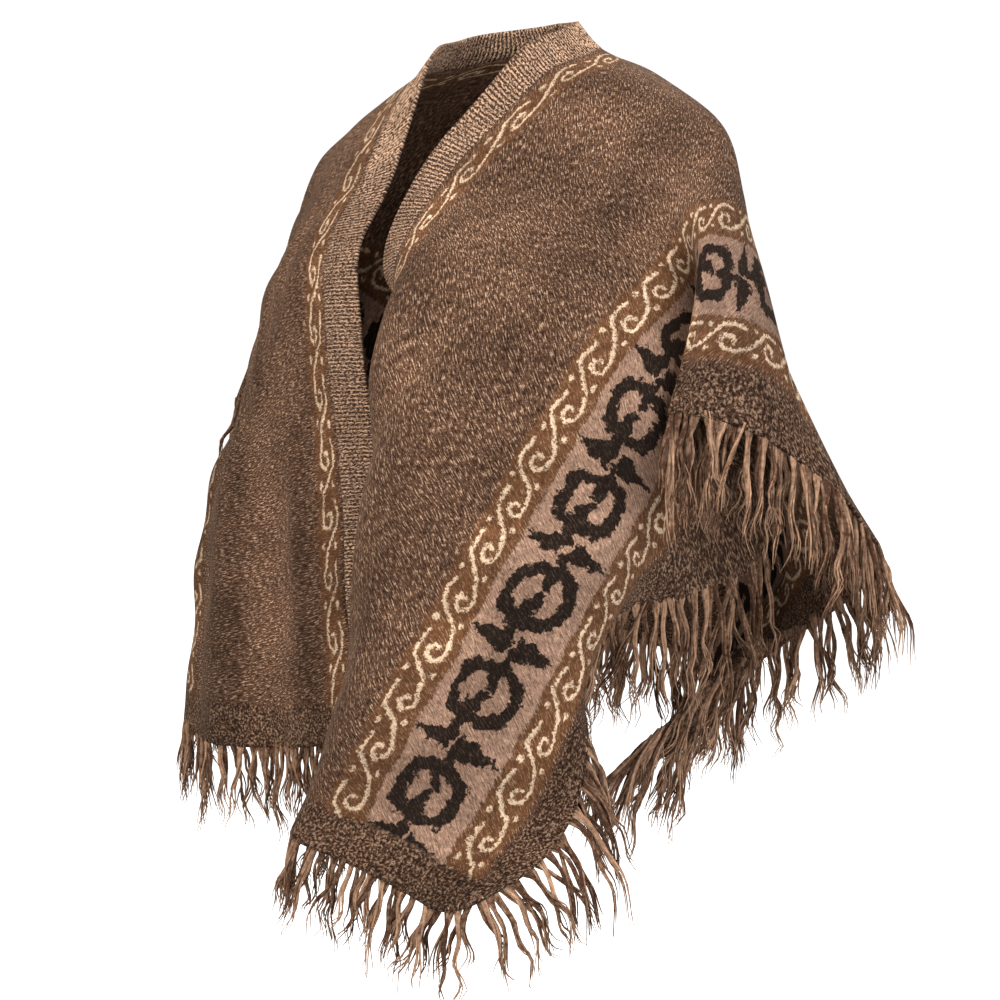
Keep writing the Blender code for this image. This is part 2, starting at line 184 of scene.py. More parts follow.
RIGHT_CREASES = (
    Crease(110, -50, 200, -240, 20, -5.5),
    Crease(50, -160, 100, -380, 14, 4.5),
    Crease(160, -260, 140, -500, 16, -6),
    Crease(220, -300, 240, -560, 14, 6),
    Crease(70, -460, 60, -760, 15, -5.5),
    Crease(280, -400, 290, -740, 15, -6),
    Crease(160, -600, 160, -800, 12, 5),
    Crease(330, -500, 330, -780, 13, 6),
    Crease(410, -360, 420, -660, 15, 5),
    Crease(300, 30, 440, -50, 14, -5),
    Crease(340, 80, 460, 60, 12, 4.5),
    Crease(80, 120, 280, 180, 18, -5),
    Crease(140, 180, 380, 270, 14, 4.5),
    Crease(50, 220, 50, 500, 15, -5),
    Crease(130, 400, 130, 720, 12, -5),
    Crease(220, 280, 220, 600, 13, -5.5),
    Crease(310, 360, 310, 700, 12, 5),
    Crease(400, 300, 400, 620, 14, 4.5),
)

# The fringes: the edge each is on, and the part of it that it takes (across for a hem, along for a side
# edge). At its start and its end come the usual length of its locks, and how far they have turned from the
# cloth's own line to straight down.
Fringe = namedtuple("Fringe", "name edge start end length_start length_end droop_start droop_end")
LEFT_FRINGES = (
    Fringe("left_fringe_front", "front_hem", 0.0, WIDTH, 0.100, 0.100, 0.25, 0.85),
    Fringe("left_fringe_side", "side_edge", -0.738, -0.27, 0.112, 0.150, 1.0, 0.80),
    Fringe("left_fringe_arm", "side_edge", -0.15, 0.17, 0.118, 0.112, 0.85, 0.85),
    Fringe("left_fringe_behind", "side_edge", 0.175, 0.668, 0.105, 0.105, 0.85, 0.85),
    Fringe("left_fringe_back", "back_hem", 0.0, WIDTH, 0.105, 0.105, 0.60, 0.85),
)
RIGHT_FRINGES = (
    Fringe("right_fringe_front", "front_hem", 0.0, WIDTH, 0.098, 0.098, 0.35, 0.60),
    Fringe("right_fringe_side", "side_edge", -0.738, -0.24, 0.095, 0.095, 0.40, 0.30),
    Fringe("right_fringe_arm", "side_edge", -0.20, 0.17, 0.100, 0.100, 0.80, 0.80),
    Fringe("right_fringe_behind", "side_edge", 0.175, 0.668, 0.100, 0.100, 0.80, 0.80),
    Fringe("right_fringe_back", "back_hem", 0.0, WIDTH, 0.105, 0.105, 0.60, 0.80),
)
DOWN = np.array((0.0, 0.0, -1.0))


def linear(red, green, blue):
    """A colour given in the 0 to 255 steps of a screen, as the linear values that a shader takes."""
    return tuple(
        step / 255 / 12.92 if step <= 10 else ((step / 255 + 0.055) / 1.055) ** 2.4
        for step in (red, green, blue)
    )


def colour(name, description, default):
    return FloatVectorProperty(
        name=name, description=description, default=default, min=0.0, max=1.0, subtype="COLOR"
    )


def length(name, description, default):
    return FloatProperty(
        name=name, description=description, default=default, min=0.0, unit="LENGTH", precision=4
    )


def power(name, description, default):
    return FloatProperty(name=name, description=description, default=default, min=0.0, unit="POWER")


def whole(name, description, default, lowest):
    return IntProperty(name=name, description=description, default=default, min=lowest)


class PonchoCloth(bpy.types.PropertyGroup):
    """The two woven widths."""

    thickness: length("Thickness", "Thickness of the fulled cloth", 0.003)
    cells_across: whole("Cells Across", "Faces across a width", 110, 20)
    cells_along: whole("Cells Along", "Faces from the front to the back hem", 318, 60)
    unevenness: length("Unevenness", "How far the cloth's face wanders between its creases", 0.0016)
    heather: colour("Heather", "Middle tone of the heathered field", linear(86, 61, 46))
    heather_dark: colour("Dark Fleck", "Dark fibres of the heather", linear(36, 23, 17))
    heather_light: colour("Light Fleck", "Light fibres of the heather", linear(188, 156, 130))
    border_ground: colour("Border Ground", "Ground under the running scrolls", linear(98, 64, 40))
    scroll_line: colour("Scroll Line", "Cream yarn of the running scrolls", linear(216, 189, 160))
    ring_ground: colour("Ring Ground", "Grey-beige ground of the ring band", linear(142, 112, 95))
    ring_line: colour("Ring Line", "Dark yarn of the rings and leaves", linear(10, 5, 4))


class PonchoRibbing(bpy.types.PropertyGroup):
    """The ribbed bands down the opening."""

    thickness: length("Thickness", "Thickness of the band between its ribs", 0.003)
    rib_pitch: length("Rib Pitch", "Distance from one rib to the next", 0.0040)
    rib_height: length("Rib Height", "Height of a rib above its groove", 0.0012)
    dark: colour("Dark Yarn", "Dark fibres, and the grooves", linear(54, 36, 27))
    light: colour("Light Yarn", "Light fibres on the ribs", linear(190, 156, 130))


class PonchoFringe(bpy.types.PropertyGroup):
    """The fringe round the hems and side edges."""

    lock_spacing: length("Lock Spacing", "Distance from one lock to the next", 0.0066)
    strands: whole("Strands", "Strands in each lock", 5, 1)
    strand_radius: length("Strand Radius", "Radius of a strand at the edge of the cloth", 0.0016)
    wave: length("Wave", "How far a lock wanders from its line", 0.0075)
    dark: colour("Dark Yarn", "Dark strands", linear(66, 43, 31))
    light: colour("Light Yarn", "Light strands", linear(192, 153, 124))


class PonchoStage(bpy.types.PropertyGroup):
    """The floor, the light and the camera."""

    floor_height: FloatProperty(
        name="Floor Height", description="Height of the floor", default=-1.45, unit="LENGTH"
    )
    key_power: power("Key Power", "Power of the large soft key light", 105.0)
    fill_power: power("Fill Power", "Power of the fill light", 66.0)
    back_power: power("Back Power", "Power of the light behind", 34.0)
    surround: FloatProperty(
        name="Surround", description="Brightness of the surrounding light", default=0.36, min=0.0
    )
    backdrop: colour("Backdrop", "Colour of the background and the floor", (0.95, 0.95, 0.95))


def in_metres(row):
    """A row of a table in millimetres, in metres."""
    return type(row)(*(value / 1000.0 for value in row))


def smooth_step(value):
    """0 up to 0, 1 from 1, with a smooth rise between them."""
    value = np.clip(value, 0.0, 1.0)
    return value * value * (3.0 - 2.0 * value)


def unit(vectors):
    return vectors / np.linalg.norm(vectors, axis=-1, keepdims=True)


def curve_weights(stations, values):
    """How much of each station's point the smooth curve takes at each value: one row for each value."""
    last = len(stations) - 1
    i = np.clip(np.searchsorted(stations, values) - 1, 0, last - 1)
    before, after = np.maximum(i - 1, 0), np.minimum(i + 2, last)
    span = stations[i + 1] - stations[i]
    u = (values - stations[i]) / span
    slope_in = (u**3 - 2 * u**2 + u) * span / (stations[i + 1] - stations[before])
    slope_out = (u**3 - u**2) * span / (stations[after] - stations[i])
    weights = np.zeros((len(values), last + 1))
    rows = np.arange(len(values))
    for column, weight in (
        (i, 2 * u**3 - 3 * u**2 + 1 - slope_out),
        (i + 1, 3 * u**2 - 2 * u**3 + slope_in),
        (before, -slope_in),
        (after, slope_out),
    ):
        np.add.at(weights, (rows, column), weight)
    return weights


FOLD_TAPER = 0.16
CREASE_TAPER = 0.35
WAVES = 9
WAVE_SPREAD = 38.0


class Width:
    """One loom width with its half of the opening band, as a surface in space."""

    def __init__(self, side, sections, folds, creases, unevenness, seed):
        self.side = side
        self.folds = [in_metres(row) for row in folds]
        self.creases = [in_metres(row) for row in creases]
        self.stations = np.array([row.along for row in sections]) / 1000.0
        self.grid = np.array([row[1:] for row in sections]) / 1000.0
        self.unevenness = unevenness
        random = np.random.default_rng(seed)
        self.waves = random.normal(0.0, WAVE_SPREAD, (WAVES, 2))
        self.phases = random.uniform(0.0, math.tau, WAVES)

    def base(self, across, along):
        """The cloth's outer face before its folds and creases."""
        rows = np.einsum("nt,tcx->ncx", curve_weights(self.stations, along), self.grid)
        past = along > NAPE
        # Past the nape the two widths are sewn together, so the cloth runs on as its mirror image.
        ghost = curve_weights(ACROSS[1:], np.array([BAND_WIDTH]))[0]
        rows[past, 0] = np.einsum("c,ncx->nx", ghost, rows[past, 1:]) * (-1, 1, 1)
        return np.einsum("nc,ncx->nx", curve_weights(ACROSS, across), rows)

    def normals_of(self, surface, across, along, step=0.002):
        along_way = surface(across, along + step) - surface(across, along - step)
        across_way = surface(across + step, along) - surface(across - step, along)
        normals = np.cross(across_way, along_way) * -self.side
        normals[(along > NAPE) & (across < step), 0] = 0.0
        return unit(normals)

    def relief(self, across, along):
        """How far the folds, creases and unevenness stand off the base."""
        height = np.zeros_like(across)
        for fold in self.folds:
            begun = smooth_step((along - fold.along_from) / FOLD_TAPER)
            reach = begun * smooth_step((fold.along_to - along) / FOLD_TAPER)
            height += fold.height * reach * np.exp(-(((across - fold.across) / fold.width) ** 2))
        fine = np.zeros_like(across)
        for crease in self.creases:
            run = np.array((crease.across_to - crease.across_from, crease.along_to - crease.along_from))
            u = across - crease.across_from
            v = along - crease.along_from
            place = np.clip((u * run[0] + v * run[1]) / run.dot(run), 0.0, 1.0)
            away = np.hypot(u - place * run[0], v - place * run[1])
            taper = smooth_step(place / CREASE_TAPER) * smooth_step((1.0 - place) / CREASE_TAPER)
            fine += crease.height * taper * np.exp(-((away / crease.width) ** 2))
        for (k, m), phase in zip(self.waves, self.phases):
            fine += self.unevenness / 3.0 * np.sin(k * across + m * along + phase)
        # The back seam is shared by both widths, so it lies still.
        still = smooth_step(along / NAPE) * (1.0 - smooth_step(across / 0.05))
        return height + fine * (1.0 - still)

    def points(self, across, along):
        height = self.relief(across, along)
        return self.base(across, along) + height[:, None] * self.normals_of(self.base, across, along)

    def normals(self, across, along):
        return self.normals_of(self.points, across, along)

    def hems(self, across):
        """Where the front and back hems lie, with the outer corners rounded off."""
        past = np.maximum(across - (WIDTH - CORNER_RADIUS), 0.0)
        cut = CORNER_RADIUS - np.sqrt(np.maximum(CORNER_RADIUS**2 - past**2, 0.0))
        return -FRONT_LENGTH + cut, BACK_LENGTH - cut


def widths():
    """The left and the right width."""

    def mirrored(sections):
        return tuple(Section(row.along, *((-x, y, z) for x, y, z in row[1:])) for row in sections)

    uneven = bpy.context.scene.poncho_cloth.unevenness
    left = Width(1, LEFT_FRONT + LEFT_SHOULDER + LEFT_BACK, LEFT_FOLDS, LEFT_CREASES, uneven, 5)
    right_sections = RIGHT_FRONT + mirrored(LEFT_SHOULDER + LEFT_BACK)
    right = Width(-1, right_sections, RIGHT_FOLDS, RIGHT_CREASES, uneven, 8)
    return {"left": left, "right": right}


def add_mesh(name, points, faces, attribute, values, layout):
    """An object from its points and faces, with one vector and one place in the texture for each point."""
    mesh = bpy.data.meshes.new(name)
    mesh.from_pydata(points.tolist(), [], faces)
    stored = mesh.attributes.new(attribute, "FLOAT_VECTOR", "POINT")
    stored.data.foreach_set("vector", np.ascontiguousarray(values, np.float32).ravel())
    corners = np.empty(len(mesh.loops), np.int32)
    mesh.loops.foreach_get("vertex_index", corners)
    uv = mesh.uv_layers.new(name="OFBake")
    uv.data.foreach_set("uv", np.ascontiguousarray(layout[corners], np.float32).ravel())
    mesh.shade_smooth()
    piece = bpy.data.objects.new(name, mesh)
    bpy.context.scene.collection.objects.link(piece)
    return piece


def add_wall(name, outer, inner, cut, outward):
    """A closed wall between two grids of points.

    cut holds (across, along), and for the widths the relief too, at each point.
    """
    facing = np.cross(outer[:-1, 1:] - outer[:-1, :-1], outer[1:, :-1] - outer[:-1, :-1])
    if (facing * outward[:-1, :-1]).sum() < 0:
        outer, inner, cut = outer[::-1], inner[::-1], cut[::-1]
    rows, columns = outer.shape[:2]
    skin = np.arange(rows * columns).reshape(rows, columns)
    quads = np.stack((skin[:-1, :-1], skin[:-1, 1:], skin[1:, 1:], skin[1:, :-1]), -1).reshape(-1, 4)
    rim = np.concatenate((skin[:, 0], skin[-1, 1:], skin[-2::-1, -1], skin[0, -2:0:-1]))
    after = np.roll(rim, -1)
    behind = rows * columns
    edge = np.stack((rim, after, after + behind, rim + behind), -1)
    faces = np.concatenate((quads, quads[:, ::-1] + behind, edge))
    flat = cut.reshape(-1, cut.shape[-1])
    share = flat[:, :2]
    share = (share - share.min(0)) / np.ptp(share, axis=0)
    # The face of the cloth takes two thirds of the texture, and its back the rest.
    face, back = share * (0.65, 0.99) + 0.005, share * (0.32, 0.99) + (0.67, 0.005)
    layout = np.concatenate((face, back))
    values = np.zeros((2 * behind, 3))
    values[:, : flat.shape[1]] = np.concatenate((flat, flat))
    points = np.concatenate((outer.reshape(-1, 3), inner.reshape(-1, 3)))
    return add_mesh(name, points, faces.tolist(), "cut", values, layout)


def evaluated_grid(width, across, along):
    """Points and normals at a grid of places in the cut."""
    flat = across.ravel(), along.ravel()
    return width.points(*flat).reshape(*across.shape, 3), width.normals(*flat).reshape(*across.shape, 3)


def weave_width(side, width, cloth):
    across = np.linspace(0.0, WIDTH, cloth.cells_across + 1)
    front, back = width.hems(across)
    share = np.linspace(0.0, 1.0, cloth.cells_along + 1)
    along = front[:, None] + (back - front)[:, None] * share
    across = np.repeat(across[:, None], len(share), 1)
    points, normals = evaluated_grid(width, across, along)
    sewn = (across == 0.0) & (along > NAPE)
    points[sewn, 0] = width.side * SEAM_GAP / 2
    inner = points - normals * cloth.thickness
    # The relief goes into the cut too: the cloth's painted shade in its hollows and painted light on its
    # ridges are read from it.
    relief = width.relief(across.ravel(), along.ravel()).reshape(across.shape)
    return add_wall(f"{side}_width_cloth", points, inner, np.stack((across, along, relief), -1), normals)


CELLS_PER_RIB = 6
CELLS_ACROSS_BAND = 8
SWAY_STEPS = 60
SWAY = 0.35


def knit_band(side, width, ribbing):
    """The ribbed band: fine ribs run from the seam to the free edge."""
    cells = round((FRONT_LENGTH + NAPE) / ribbing.rib_pitch) * CELLS_PER_RIB
    along = np.linspace(-FRONT_LENGTH, NAPE, cells + 1)
    across = np.linspace(-SEAM_GAP, -BAND_WIDTH, CELLS_ACROSS_BAND + 1)
    across, along = np.meshgrid(across, along, indexing="ij")
    points, normals = evaluated_grid(width, across, along)
    random = np.random.default_rng(31)
    steps = np.linspace(-FRONT_LENGTH, NAPE, SWAY_STEPS)
    sway = np.interp(along, steps, random.normal(0.0, SWAY, SWAY_STEPS))
    bend = 0.5 * np.sin(math.pi * across / BAND_WIDTH)
    rib = np.cos(math.tau * along / ribbing.rib_pitch + sway + bend)
    at_edge = smooth_step(-across / 0.004) * smooth_step((BAND_WIDTH + across) / 0.003)
    depth = (ribbing.rib_height / 2 * (1.0 - rib) * (0.3 + 0.7 * at_edge))[..., None]
    outer = points - normals * depth
    inner = points - normals * (ribbing.thickness + ribbing.rib_height / 2 - depth)
    for skin in (outer, inner):
        skin[along == NAPE, 0] = width.side * SEAM_GAP / 2
    return add_wall(f"{side}_band_ribbing", outer, inner, np.stack((across, along), -1), normals)


def edge_places(width, fringe, count):
    """(across, along) at places down the part of the edge that this fringe takes."""
    if fringe.edge == "side_edge":
        return np.full(count, WIDTH), np.linspace(fringe.start, fringe.end, count)
    # The angle at the rounded corner is spaced evenly, so that the locks fan out round it.
    straight = WIDTH - CORNER_RADIUS
    turn = np.linspace(0.0, math.pi / 2, count // 4)
    before = np.linspace(0.0, straight, count - len(turn), endpoint=False)
    across = np.concatenate((before, straight + CORNER_RADIUS * np.sin(turn)))
    across = np.minimum(across, WIDTH)
    front, back = width.hems(across)
    return across, front if fringe.edge == "front_hem" else back


EDGE_PLACES = 400
EDGE_STEP = 0.005


def edge_frames(width, fringe):
    """Down the edge: points, the ways out of the cloth, its normals, and the distance run along the edge."""
    across, along = edge_places(width, fringe, EDGE_PLACES)
    if fringe.edge == "side_edge":
        inside = width.points(across - EDGE_STEP, along)
    else:
        inward = EDGE_STEP if fringe.edge == "front_hem" else -EDGE_STEP
        rounded = np.clip((across - (WIDTH - CORNER_RADIUS)) / CORNER_RADIUS, 0.0, 1.0)
        inside = width.points(across - EDGE_STEP * rounded, along + inward * (1.2 - rounded))
    points = width.points(across, along)
    run = np.concatenate(((0.0,), np.linalg.norm(np.diff(points, axis=0), axis=1).cumsum()))
    return points, unit(points - inside), width.normals(across, along), run


def read_at(places, run, values):
    """The values at these distances along the edge."""
    return np.stack([np.interp(places, run, column) for column in values.T], -1)


STRAND_RINGS = 12
STRAND_SIDES = 5
# Ranges and spreads that the locks are drawn from. Lengths are in metres.
SHORTEST, LONGEST = 0.74, 1.08
INSET = (0.002, 0.017)
WAVE_LENGTH = (0.034, 0.070)
LEAN, LEAN_SPREAD = 0.10, 0.10
STRAY_SPREAD = 0.16
TURN_POWER = 0.45
TIP_STRAY = 0.0035
TAPER = 0.82


def strand_mesh(path, radii, across_way):
    """The rings of one tapered strand, from its root to its tip."""
    ahead = unit(np.gradient(path, axis=0))
    first = unit(np.cross(ahead, across_way))
    second = np.cross(ahead, first)
    turns = math.tau * np.arange(STRAND_SIDES) / STRAND_SIDES
    cosines, sines = np.cos(turns)[None, :, None], np.sin(turns)[None, :, None]
    round_it = cosines * first[:, None] + sines * second[:, None]
    return path[:, None] + radii[:, None, None] * round_it


def lock_path(point, out, normal, sideways, reach, droop, settings, random):
    """The middle line of a lock: it leaves in line with the cloth, turns down, and waves."""
    s = np.linspace(0.0, 1.0, STRAND_RINGS)[:, None]
    lean = random.normal(LEAN, LEAN_SPREAD)
    stray = random.normal(0.0, STRAY_SPREAD)
    turn = np.clip(droop * random.uniform(0.8, 1.1), 0.0, 1.0) * s**TURN_POWER
    ways = unit(out * (1.0 - turn) + DOWN * turn + normal * lean + sideways * stray)
    steps = ways * reach / (STRAND_RINGS - 1)
    line = point + np.concatenate((np.zeros((1, 3)), steps[1:].cumsum(0)))
    swing = settings.wave * s**0.9 * random.uniform(0.35, 1.0)
    turns = reach / random.uniform(*WAVE_LENGTH)
    phase = random.uniform(0.0, math.tau)
    line = line + sideways * swing * (np.sin(math.tau * turns * s + phase) - math.sin(phase) * (1 - s))
    return line + normal * swing * 0.6 * np.sin(math.tau * turns * s * 0.8 + phase * 2.0)


def lock_strands(line, side, normal, reach, number, settings, random):
    """The strands of one lock: their rings, and (number, distance down, tone) at each point of them."""
    s = np.linspace(0.0, 1.0, STRAND_RINGS)
    twist = random.uniform(-1.4, 1.4) * math.tau
    tone = random.uniform(0.0, 1.0)
    gather = smooth_step(s / 0.4)
    rings, yarn = [], []
    for k in range(settings.strands):
        slot_place = ((k + 0.5) / settings.strands - 0.5) * settings.lock_spacing
        angle = math.tau * k / settings.strands + twist * s + random.uniform(-0.5, 0.5)
        spread = 1.3 * smooth_step((s - 0.5) / 0.5) * random.uniform(0.2, 1.6)
        bundle = settings.strand_radius * (0.95 + spread)
        beside = slot_place * (1 - gather) + np.cos(angle) * bundle * gather
        above = random.normal(0.0, 0.0004) * (1 - gather) + np.sin(angle) * bundle * gather
        stray = random.normal(0.0, TIP_STRAY) * s**2
        shorter = random.uniform(0.80, 1.0)
        path = np.stack([np.interp(s * shorter, s, column) for column in line.T], -1)
        path = path + side * (beside + stray)[:, None] + normal * above[:, None]
        radii = settings.strand_radius * random.uniform(0.75, 1.1) * (1.0 - TAPER * s**1.6)
        rings.append(strand_mesh(path, radii, normal))
        stored = np.empty((STRAND_RINGS, STRAND_SIDES, 3))
        stored[..., 0] = (number + k) * 0.37 + tone * 0.2
        stored[..., 1] = (s * shorter * reach)[:, None]
        stored[..., 2] = np.clip(tone + random.normal(0.0, 0.22), 0.0, 1.0)
        yarn.append(stored)
    return rings, yarn


def strand_layout(total):
    """Each strand's own cell of the texture."""
    columns = max(math.ceil(math.sqrt(total * 3.0)), 1)
    rows = math.ceil(total / columns)
    numbers = np.arange(total)
    uv = np.empty((total, STRAND_RINGS, STRAND_SIDES, 2))
    beside = 0.1 + 0.8 * np.arange(STRAND_SIDES) / STRAND_SIDES
    down = 0.05 + 0.9 * np.linspace(0.0, 1.0, STRAND_RINGS)
    uv[..., 0] = ((numbers % columns)[:, None, None] + beside) / columns
    uv[..., 1] = ((numbers // columns)[:, None, None] + down[:, None]) / rows
    return uv.reshape(-1, 2)


def strand_faces(total):
    """The faces of this many strands, with both ends closed."""
    per_strand = STRAND_RINGS * STRAND_SIDES
    index = np.arange(per_strand).reshape(STRAND_RINGS, STRAND_SIDES)
    after = np.roll(index, -1, 1)
    quads = np.stack((index[:-1], after[:-1], after[1:], index[1:]), -1).reshape(-1, 4).tolist()
    ends = [index[0, ::-1].tolist(), index[-1].tolist()]
    return [[corner + n * per_strand for corner in face] for n in range(total) for face in quads + ends]


def tie_fringe(width, fringe, settings, seed):
    """One stretch of fringe: locks of tapered strands that clump and wave."""
    random = np.random.default_rng(seed)
    points, outs, normals, run = edge_frames(width, fringe)
    locks = round(run[-1] / settings.lock_spacing)
    places = (np.arange(locks) + 0.5) * run[-1] / locks
    sideways = unit(np.gradient(points, run, axis=0))
    at = [read_at(places, run, values) for values in (points, outs, normals, sideways)]
    half_thickness = bpy.context.scene.poncho_cloth.thickness * 0.5
    rings, yarn = [], []
    for i in range(locks):
        point, out, normal, side = (values[i] for values in at)
        side = unit(side - out * side.dot(out))
        share = i / locks
        usual = fringe.length_start + (fringe.length_end - fringe.length_start) * share
        droop = fringe.droop_start + (fringe.droop_end - fringe.droop_start) * share
        reach = usual * random.uniform(SHORTEST, LONGEST)
        # Some locks leave the face of the margin, and some its edge, so that the root isn't a straight line.
        inset = random.uniform(*INSET)
        sunk = half_thickness * smooth_step((0.012 - inset) / 0.006)
        root = point - out * inset - normal * sunk
        line = lock_path(root, out, normal, side, reach, droop, settings, random)
        made = lock_strands(line, side, normal, reach, len(rings), settings, random)
        rings += made[0]
        yarn += made[1]
    piece_points = np.array(rings).reshape(-1, 3)
    values = np.array(yarn).reshape(-1, 3)
    faces, layout = strand_faces(len(rings)), strand_layout(len(rings))
    return add_mesh(fringe.name + "_locks", piece_points, faces, "yarn", values, layout)


class Graph:
    """Short ways to add and join nodes in one tree."""

    def __init__(self, tree):
        self.tree = tree

    def feed(self, socket, value):
        if isinstance(value, bpy.types.NodeSocket):
            self.tree.links.new(value, socket)
        else:
            socket.default_value = value

    def node(self, kind, inputs, **settings):
        made = self.tree.nodes.new(kind)
        for name, value in settings.items():
            setattr(made, name, value)
        for socket, value in inputs.items():
            self.feed(made.inputs[socket], value)
        return made

    def math(self, operation, *values, clamp=False):
        sockets = dict(enumerate(values))
        return self.node("ShaderNodeMath", sockets, operation=operation, use_clamp=clamp).outputs[0]

    def plus(self, first, second):
        return self.math("ADD", first, second)

    def minus(self, first, second):
        return self.math("SUBTRACT", first, second)

    def times(self, first, *others):
        for other in others:
            first = self.math("MULTIPLY", first, other)
        return first

    def over(self, first, second):
        return self.math("DIVIDE", first, second)

    def away(self, first, second=0.0):
        """How far the first value is from the second."""
        return self.math("ABSOLUTE", self.minus(first, second))

    def wrapped(self, value, half):
        """The value brought back into the range from -half to half by whole repeats."""
        return self.math("WRAP", value, half, -half)

    def vector(self, operation, *values):
        made = self.node("ShaderNodeVectorMath", dict(enumerate(values)), operation=operation)
        return made.outputs["Value" if operation in ("LENGTH", "DOT_PRODUCT") else "Vector"]

    def scaled(self, vector, factor):
        inputs = {"Vector": vector, "Scale": factor}
        return self.node("ShaderNodeVectorMath", inputs, operation="SCALE").outputs[0]

    def shaken(self, vector, scale, detail, roughness, reach):
        """How far noise moves a place, in each direction."""
        noise = self.noise(vector, scale, detail, roughness, "Color")
        return self.scaled(self.vector("SUBTRACT", noise, (0.5, 0.5, 0.5)), reach)

    def parts(self, vector):
        return self.node("ShaderNodeSeparateXYZ", {0: vector}).outputs

    def joined(self, x, y, z=0.0):
        return self.node("ShaderNodeCombineXYZ", {0: x, 1: y, 2: z}).outputs[0]

    def noise(self, vector, scale, detail=2.0, roughness=0.5, output="Fac"):
        inputs = {"Vector": vector, "Scale": scale, "Detail": detail, "Roughness": roughness}
        return self.node("ShaderNodeTexNoise", inputs).outputs[output]

    def rise(self, value, low, high, to_low=0.0, to_high=1.0):
        """A smooth step from to_low, where the value is low, to to_high, where it is high."""
        names = ("Value", "From Min", "From Max", "To Min", "To Max")
        inputs = dict(zip(names, (value, low, high, to_low, to_high)))
        return self.node("ShaderNodeMapRange", inputs, interpolation_type="SMOOTHSTEP").outputs[0]

    def shaded(self, surface, shade):
        return self.mix(1.0, surface, self.joined(shade, shade, shade), "MULTIPLY")

    def bump(self, height, strength, distance):
        inputs = {"Height": height, "Strength": strength, "Distance": distance}
        return self.node("ShaderNodeBump", inputs).outputs[0]

    def attribute(self, name):
        return self.node("ShaderNodeAttribute", {}, attribute_name=name).outputs["Vector"]

    def mix(self, factor, first, second, blend="MIX"):
        made = self.tree.nodes.new("ShaderNodeMix")
        made.data_type = "RGBA"
        made.blend_type = blend
        for socket, value in ((0, factor), (6, first), (7, second)):
            if hasattr(value, "__len__") and len(value) == 3:
                value = (*value, 1.0)
            self.feed(made.inputs[socket], value)
        return made.outputs[2]

    def least(self, values):
        found = values[0]
        for value in values[1:]:
            found = self.math("MINIMUM", found, value)
        return found


def node_group(name, inputs, output):
    """An empty node group: its graph, its input sockets by name, and the socket that takes its result."""
    tree = bpy.data.node_groups.new(name, "ShaderNodeTree")
    for socket, kind in inputs:
        tree.interface.new_socket(socket, in_out="INPUT", socket_type=kind)
    tree.interface.new_socket(output, in_out="OUTPUT", socket_type="NodeSocketFloat")
    start = tree.nodes.new("NodeGroupInput")
    end = tree.nodes.new("NodeGroupOutput")
    return tree, Graph(tree), start.outputs, end.inputs[0]


def stroke_group():
    """How far a place is from one short stroke of the pattern, which comes back once in each repeat."""
    inputs = (("Place", "NodeSocketVector"), ("Middle", "NodeSocketVector"), ("Half", "NodeSocketVector"))
    tree, graph, given, result = node_group("Pattern Stroke", inputs, "Distance")
    x, y, _ = graph.parts(graph.vector("SUBTRACT", given["Place"], given["Middle"]))
    place = graph.joined(x, graph.wrapped(y, 0.5))
    share = graph.math(
        "DIVIDE",
        graph.vector("DOT_PRODUCT", place, given["Half"]),
        graph.vector("DOT_PRODUCT", given["Half"], given["Half"]),
    )
    share = graph.math("MINIMUM", graph.math("MAXIMUM", share, -1.0), 1.0)
    nearest = graph.scaled(given["Half"], share)
    graph.feed(result, graph.vector("LENGTH", graph.vector("SUBTRACT", place, nearest)))
    return tree


def strokes(graph, group, place, line):
    """How far a place is from a line of strokes, given by its corners."""
    found = []
    for (ax, ay), (bx, by) in zip(line[:-1], line[1:]):
        middle = ((ax + bx) / 2, (ay + by) / 2, 0.0)
        half = ((bx - ax) / 2, (by - ay) / 2, 0.0)
        made = graph.node("ShaderNodeGroup", {}, node_tree=group)
        graph.feed(made.inputs["Place"], place)
        made.inputs["Middle"].default_value = middle
        made.inputs["Half"].default_value = half
        found.append(made.outputs[0])
    return graph.least(found)


# The figured borders: their middle and half width across the cloth, and their repeats, in metres.
OPENING_BORDER = (0.020, 0.014)
INNER_BORDER = (0.284, 0.019)
OUTER_BORDER = (0.405, 0.019)
SCROLL_REPEAT = 0.04625
OPENING_REPEAT = 0.0625
SCROLL_SHIFT = (-0.055, 0.35)
RING_REPEAT = 0.0925
RING_START = -0.727
RING_LINE = 0.342
RING_BAND = ((INNER_BORDER[0] + OUTER_BORDER[0] + INNER_BORDER[1] - OUTER_BORDER[1]) / 2, 0.0405)
# The running scroll, in repeats: a hook and a run down across the border, a spiral that turns inward, and
# dots.
SCROLL_HOOK = ((-0.30, 1.30), (-0.335, 1.10), (-0.33, 0.88), (-0.15, 0.68), (0.06, 0.46))
SPIRAL_STEPS = 7
SPIRAL_START, SPIRAL_TURN = 25, 54
SPIRAL_RADIUS, SPIRAL_CLOSING = 0.235, 0.027
SCROLL_DOTS = (((-0.315, 0.55), (-0.310, 0.58)), ((0.175, 0.585), (0.180, 0.56)))
DOT_RADIUS = 0.012
# The ring: its half width, half height and half stroke in metres, and how squarish it is.
RING_WIDE, RING_TALL, RING_STROKE, RING_SQUARENESS = 0.0240, 0.0235, 0.0058, 3.0
RING_MEAN = 0.0238
# The lobes inside a ring, and the necks that reach out to the leaves: half width and ends, in metres.
Lobe = namedtuple("Lobe", "half_width start end")
LOBES = (
    Lobe(0.0046, (0.001, 0.024), (0.002, 0.009)),
    Lobe(0.0070, (-0.006, -0.020), (-0.004, -0.011)),
    Lobe(0.0042, (-0.004, -0.012), (0.001, -0.001)),
    Lobe(0.0052, (-0.007, -0.024), (-0.005, -0.040)),
    Lobe(0.0040, (0.005, 0.024), (0.003, 0.040)),
)
